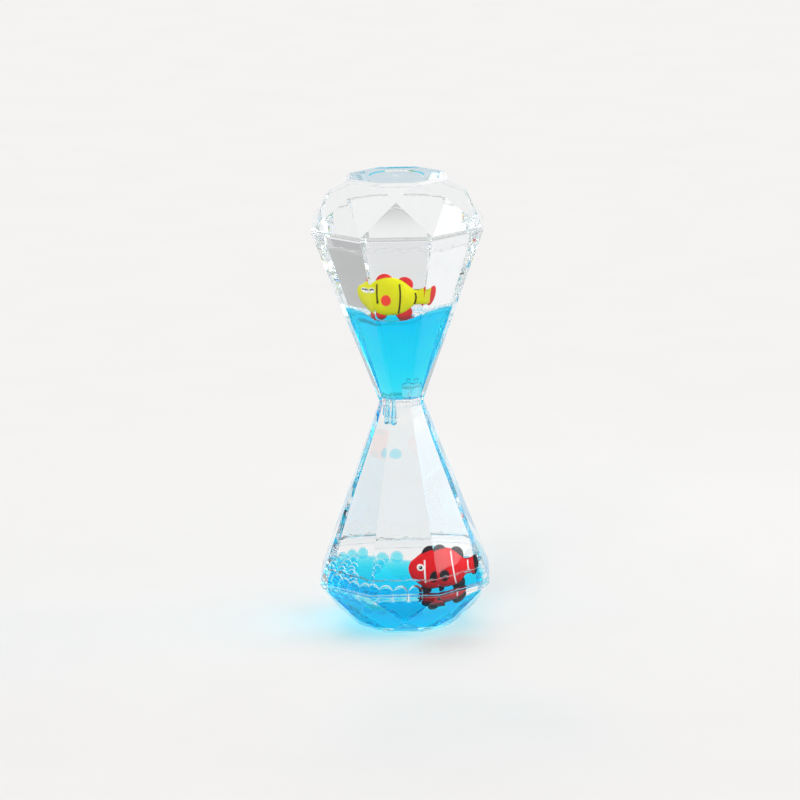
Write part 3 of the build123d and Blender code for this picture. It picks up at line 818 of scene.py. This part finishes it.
def fin_discs(lobes, rows=24, columns=72):
    """Fins as pillows: ovals of radius share s, of a half thickness that goes with the root of 1 - s**4.

    Shallow rays fan out from the middle.
    """
    share = np.sin(np.linspace(0, np.pi / 2, rows))[1:]
    turn = 2 * np.pi * np.arange(columns) / columns
    bodies = []
    for x, z, half_x, half_z, thick, lean in lobes:
        flat_z = z + half_z * np.outer(share, np.sin(turn))
        flat_x = x + half_x * np.outer(share, np.cos(turn)) + lean * (flat_z - z)
        rays = 1 - 0.16 * (0.5 + 0.5 * np.cos(18 * turn))[None, :] * share[:, None] ** 2
        puff = thick * np.sqrt(np.clip(1 - share**4, 0, 1))[:, None] * rays
        near = np.stack([flat_x, -puff, flat_z], axis=-1).reshape(-1, 3)
        far = np.stack([flat_x, puff, flat_z], axis=-1)[-2::-1].reshape(-1, 3)
        points = np.concatenate([[[x, -thick, z]], near, far, [[x, thick, z]]])
        blocks = [strips(2 * rows - 3, columns, first=1), *fans(columns, len(points) - 1)]
        bodies.append(inside_out((points, blocks)))
    return joined(*bodies)


def placed(points, middle, turn):
    """Points of the fish's own frame, turned about the upright and set at its place in the vessel."""
    c, s = math.cos(math.radians(turn)), math.sin(math.radians(turn))
    return points @ np.array([[c, s, 0], [-s, c, 0], [0, 0, 1]]) + middle


half_tall, half_long, fin_thick = 6.1, 7.5, 0.6
fin_lobes = [
    (
        at, up * (half_tall * math.sqrt(1 - (at / half_long) ** 2) + reach - radius),
        radius, radius, fin_thick, 0.0,
    )
    for at, radius, reach, up in (
        (-0.8, 2.6, 1.3, 1), (5.0, 2.5, 1.7, 1), (-1.9, 1.7, 1.1, -1), (4.6, 2.5, 2.6, -1)
    )
]
fin_lobes.append((10.95, 0.0, 1.5, 3.1, fin_thick, 0.16))
fish_above_water, fish_half_wide, fish_off_wall = 4.9, 3.5, 2.2
tail_reach = float(inside_apothem(lip_end)) - lip_inset - 0.5
tail_azimuth, red_turn, tail_from_middle = math.radians(-10.7), 21.6, 12.5
yellow_side = float(inside_apothem(2 * neck_height - upper_level - fish_above_water))
yellow_side = yellow_side - fish_half_wide - fish_off_wall
yellow_place = np.array([-3.1, -yellow_side, upper_level + fish_above_water])
red_place = np.array([
    tail_reach * math.cos(tail_azimuth) - tail_from_middle * math.cos(math.radians(red_turn)),
    tail_reach * math.sin(tail_azimuth) - tail_from_middle * math.sin(math.radians(red_turn)),
    lower_level + fish_above_water,
])
yellow_shell = printed_plastic("yellow_moulded_abs", "EDEB1E", "DEDA12", "3B2A06", "FF4A3C")
red_shell = printed_plastic("red_moulded_abs", "E81622", "D8101C", "F4EFEF", "1C1A22")


# Fins of soft solid-dyed PVC: matt, and slightly cloudy in colour and sheen.
def fin_plastic(name, body, shade):
    material, tree, place = blank_material(name)
    cloud = add_node(tree, "TexNoise", {"Vector": place, "Scale": 1 / (1.5 * MM), "Detail": 3.0})
    colour = add_node(
        tree, "Mix", {"Factor": cloud, "A": linear(body), "B": linear(shade)}, data_type="RGBA"
    )
    rough = add_node(tree, "MapRange", {"Value": cloud, "To Min": 0.4, "To Max": 0.6})
    plastic = add_node(tree, "BsdfPrincipled", {"Base Color": colour, "Roughness": rough, "IOR": 1.15})
    add_node(tree, "OutputMaterial", {"Surface": plastic})
    return material


red_fins = fin_plastic("red_soft_pvc", "EC3E3E", "DD2F34")
black_fins = fin_plastic("black_soft_pvc", "1E1C22", "2A2830")

# Turned steel for the ballast: bright, with fine rings from the tool that blur its sheen in bands.
steel, tree, place = blank_material("turned_steel")
tool_marks = add_node(
    tree, "TexWave", {"Vector": place, "Scale": 1 / (0.4 * MM), "Distortion": 1.0}, bands_direction="Z"
)
shine = add_node(tree, "MapRange", {"Value": tool_marks.outputs["Fac"], "To Min": 0.25, "To Max": 0.45})
metal = add_node(
    tree, "BsdfPrincipled", {"Base Color": linear("A8A8AA"), "Metallic": 1.0, "Roughness": shine}
)
add_node(tree, "OutputMaterial", {"Surface": metal})

for fish, middle, turn, prints, shell, shell_slot, fins, fin_slot in (
    (
        "yellow_fish", yellow_place, 0.0, yellow_print,
        yellow_shell, "yellow_plastic", red_fins, "red_fin_plastic",
    ),
    (
        "red_fish", red_place, red_turn, red_print,
        red_shell, "red_plastic", black_fins, "black_fin_plastic",
    ),
):
    for half, side in (("near_half", -1), ("far_half", 1)):
        points, faces = half_fish(side)
        make_piece(
            f"{fish}_{half}_shell", placed(points, middle, turn), [(faces, 0)], fish, (shell,),
            [f"{fish}_{half}"], smooth=True, layers=prints(points[:, 0], points[:, 2]),
        )
    points, blocks = fin_discs(fin_lobes)
    fin_surface = (placed(points, middle, turn), blocks)
    smooth_piece(f"{fish}_fin_set", fin_surface, fish, fins, f"{fish}_fins")
    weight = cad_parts[f"{fish}_ballast"].data.materials
    weight.clear()
    weight.append(steel)

# The timer stands on a wide sheet of pale, almost white card, laid flat. Its mesh is finer near the middle.
# Close to the timer it shows its own light and shade, and farther off an even white. Seen through the
# plastic, it glows a painted even white from 25 mm out, which paints over its shadow there, and past 440 mm
# behind the timer it is painted shade.
reach, cells = 4000, 40
line = np.linspace(-1, 1, cells + 1) * reach
line = np.sign(line) * line**2 / reach
sheet_x, sheet_y = np.meshgrid(line, line, indexing="ij")
card_points = np.stack([sheet_x, sheet_y, np.zeros_like(sheet_x)], axis=-1).reshape(-1, 3)
row, column = np.meshgrid(np.arange(cells), np.arange(cells), indexing="ij")
corner = row * (cells + 1) + column
square = np.stack([corner, corner + cells + 1, corner + cells + 2, corner + 1], axis=-1)
card_mesh = bpy.data.meshes.new("card")
card_mesh.from_pydata((card_points * MM).tolist(), [], square.reshape(-1, 4).tolist())
card = bpy.data.objects.new("card", card_mesh)
scene.collection.objects.link(card)


def seen_ways(tree):
    """The light path, and 1 where a ray comes from the camera, a mirroring or a clear surface."""
    path = add_node(tree, "LightPath")
    seen = path.outputs["Is Camera Ray"]
    for way in ("Is Glossy Ray", "Is Transmission Ray"):
        seen = add_node(tree, "Math", {0: seen, 1: path.outputs[way]}, operation="MAXIMUM")
    return path, seen


# Uncoated white card: matt, with soft clouds from its fibres.
paper, tree, place = blank_material("uncoated_white_card")
fibre = add_node(tree, "TexNoise", {"Vector": place, "Scale": 1 / (40 * MM), "Detail": 4.0})
tone, near_tone = [
    add_node(tree, "Mix", {"Factor": fibre, "A": linear(pale), "B": linear(shade)}, data_type="RGBA")
    for pale, shade in (("F6F5F4", "F2F1F0"), ("ECEBEA", "E8E7E6"))
]
matt = add_node(tree, "BsdfDiffuse", {"Color": near_tone, "Roughness": 0.5})
away = add_node(tree, "VectorMath", {0: place}, operation="LENGTH")
depth = add_node(tree, "SeparateXYZ", {0: place}).outputs["Y"]
# Seen through the plastic: a painted glow from 25 mm out that covers the shadow, and painted shade past 440
# mm behind.
far, painted_glow_near, shade = [
    add_node(
        tree, "MapRange", {"Value": value, "From Min": start * MM, "From Max": stop * MM},
        interpolation_type="SMOOTHSTEP",
    )
    for value, start, stop in ((away, 110, 320), (away, 25, 40), (depth, 440, 500))
]
path, seen = seen_ways(tree)
far_seen, painted_glow_seen, shade_seen = [
    add_node(tree, "Math", {0: way, 1: part}, operation="MULTIPLY")
    for way, part in (
        (seen, far),
        (path.outputs["Is Transmission Ray"], painted_glow_near),
        (path.outputs["Is Transmission Ray"], shade),
    )
]
share = add_node(tree, "Math", {0: far_seen, 1: painted_glow_seen}, operation="MAXIMUM")
far_tone = add_node(
    tree, "Mix", {"Factor": shade_seen, "A": tone, "B": linear("CFCFCD")}, data_type="RGBA"
)
glow = add_node(tree, "Emission", {"Color": far_tone, "Strength": 1.0})
both = add_node(tree, "MixShader", {0: share, 1: matt, 2: glow})
add_node(tree, "OutputMaterial", {"Surface": both})
card_mesh.materials.append(paper)

# The room is pale all round. Low behind the card, and tilted a little, runs a band of wall. It darkens to the
# right, a painted shade, where it is seen, and where it is mirrored it is a painted sky-blue reflection.
# Neither lights anything. An even white fill lights all from around.
world = bpy.data.worlds.new("pale_room")
scene.world = world
world.use_nodes = True
tree = world.node_tree
tree.nodes.clear()
path, seen = seen_ways(tree)
outward = add_node(tree, "TexCoord").outputs["Generated"]
toward = add_node(tree, "SeparateXYZ", {0: outward})
tilt = add_node(
    tree, "Math", {0: toward.outputs["X"], 1: -0.12, 2: toward.outputs["Z"]}, operation="MULTIPLY_ADD"
)
side, front, above_wall, below_wall = [
    add_node(
        tree, "MapRange", {"Value": value, "From Min": start, "From Max": stop},
        interpolation_type="SMOOTHSTEP",
    )
    for value, start, stop in (
        (toward.outputs["X"], -0.3, 0.44), (toward.outputs["Y"], 0.5, 0.2),
        (tilt, 0.19, 0.27), (tilt, 0.125, 0.095),
    )
]
clear_of_wall = above_wall
for part in (front, below_wall):
    clear_of_wall = add_node(tree, "Math", {0: clear_of_wall, 1: part}, operation="MAXIMUM")
wall_shade = add_node(
    tree, "Mix", {"Factor": side, "A": linear("F8F8F8"), "B": linear("BCBCBB")}, data_type="RGBA"
)
# Painted shade on the wall band, and a painted sky-blue reflection for mirrored rays only.
room, painted_sky_reflection = [
    add_node(tree, "Mix", {"Factor": clear_of_wall, "A": band, "B": linear("FBFBFB")}, data_type="RGBA")
    for band in (wall_shade, linear("8ABCD4"))
]
mirrored = add_node(
    tree, "Math", {0: path.outputs["Is Glossy Ray"], 1: path.outputs["Is Transmission Ray"]},
    operation="SUBTRACT", use_clamp=True,
)
seen_room = add_node(tree, "Mix", {"Factor": mirrored, "A": room, "B": painted_sky_reflection}, data_type="RGBA")
look = add_node(tree, "Background", {"Color": seen_room, "Strength": 1.0})
fill = add_node(tree, "Background", {"Color": linear("FFFFFF"), "Strength": 0.52})
both = add_node(tree, "MixShader", {0: seen, 1: fill, 2: look})
add_node(tree, "OutputWorld", {"Surface": both})


# Soft daylight comes from the right, from behind and from the front, and three weak strips overhead give the
# facets their glints.
def set_up(name, data, axes, place):
    """Lamp or camera with three axes at a place in mm, which faces along the third one's other way."""
    made = bpy.data.objects.new(name, data)
    turn = np.eye(4)
    turn[:3, :3] = np.stack(axes, axis=1)
    turn[:3, 3] = place * MM
    made.matrix_world = Matrix(turn.tolist())
    scene.collection.objects.link(made)
    return made


def soft_lamp(name, place, target, width, height, power, mirrored=True):
    """Flat rectangular lamp that faces a target, in mm and watts; unless mirrored, only its light is seen."""
    light = bpy.data.lights.new(name, "AREA")
    light.shape = "RECTANGLE"
    light.size, light.size_y, light.energy = width * MM, height * MM, power
    away = np.subtract(place, target)
    away = away / np.linalg.norm(away)
    across = np.cross([0, 0, 1.0], away)
    across = across / np.linalg.norm(across)
    lamp = set_up(name, light, (across, np.cross(away, across), away), np.array(place))
    lamp.visible_glossy = lamp.visible_transmission = mirrored


soft_lamp("window", (1126, 150, 610), (0, 0, 40), 800, 640, 9.0)
soft_lamp("back_window", (-200, 1300, 1200), (0, 0, 40), 900, 500, 15.0, mirrored=False)
soft_lamp("front_window", (-380, -1050, 260), (0, 0, 60), 420, 420, 4.2, mirrored=False)
soft_lamp("left_strip", (-630, -150, 1300), (0, 0, 120), 420, 300, 0.5)
soft_lamp("right_strip", (620, -175, 1300), (0, 0, 120), 420, 300, 0.5)
soft_lamp("back_strip", (-20, 250, 1300), (0, 0, 120), 300, 250, 0.25)

# The camera stands at the front, a little above, with a long lens, and leans slightly to one side.
distance, rise, swing, lean = 1284.0, math.radians(13.2), math.radians(0.99), math.radians(-1.27)
focal_pixels, picture_pixels = 4344.9, 800
sight = np.array([-math.sin(swing) * math.cos(rise), math.cos(swing) * math.cos(rise), -math.sin(rise)])
right = np.array([math.cos(swing), math.sin(swing), 0.0])
above = np.cross(right, sight)
view = (
    right * math.cos(lean) + above * math.sin(lean), above * math.cos(lean) - right * math.sin(lean), -sight
)
lens = bpy.data.cameras.new("camera")
lens.sensor_width = 36.0
lens.lens = focal_pixels * lens.sensor_width / picture_pixels
lens.shift_x, lens.shift_y = -1.4 / picture_pixels, -0.2 / picture_pixels
lens.clip_start, lens.clip_end = 0.01, 50.0
scene.camera = set_up("camera", lens, view, np.array([0, 0, neck_height]) - sight * distance)

# Light bounces often between the facets before it leaves.
scene.view_settings.view_transform = "Standard"
scene.cycles.max_bounces = 64
scene.cycles.transmission_bounces = 56
scene.cycles.glossy_bounces = 24
scene.cycles.transparent_max_bounces = 96
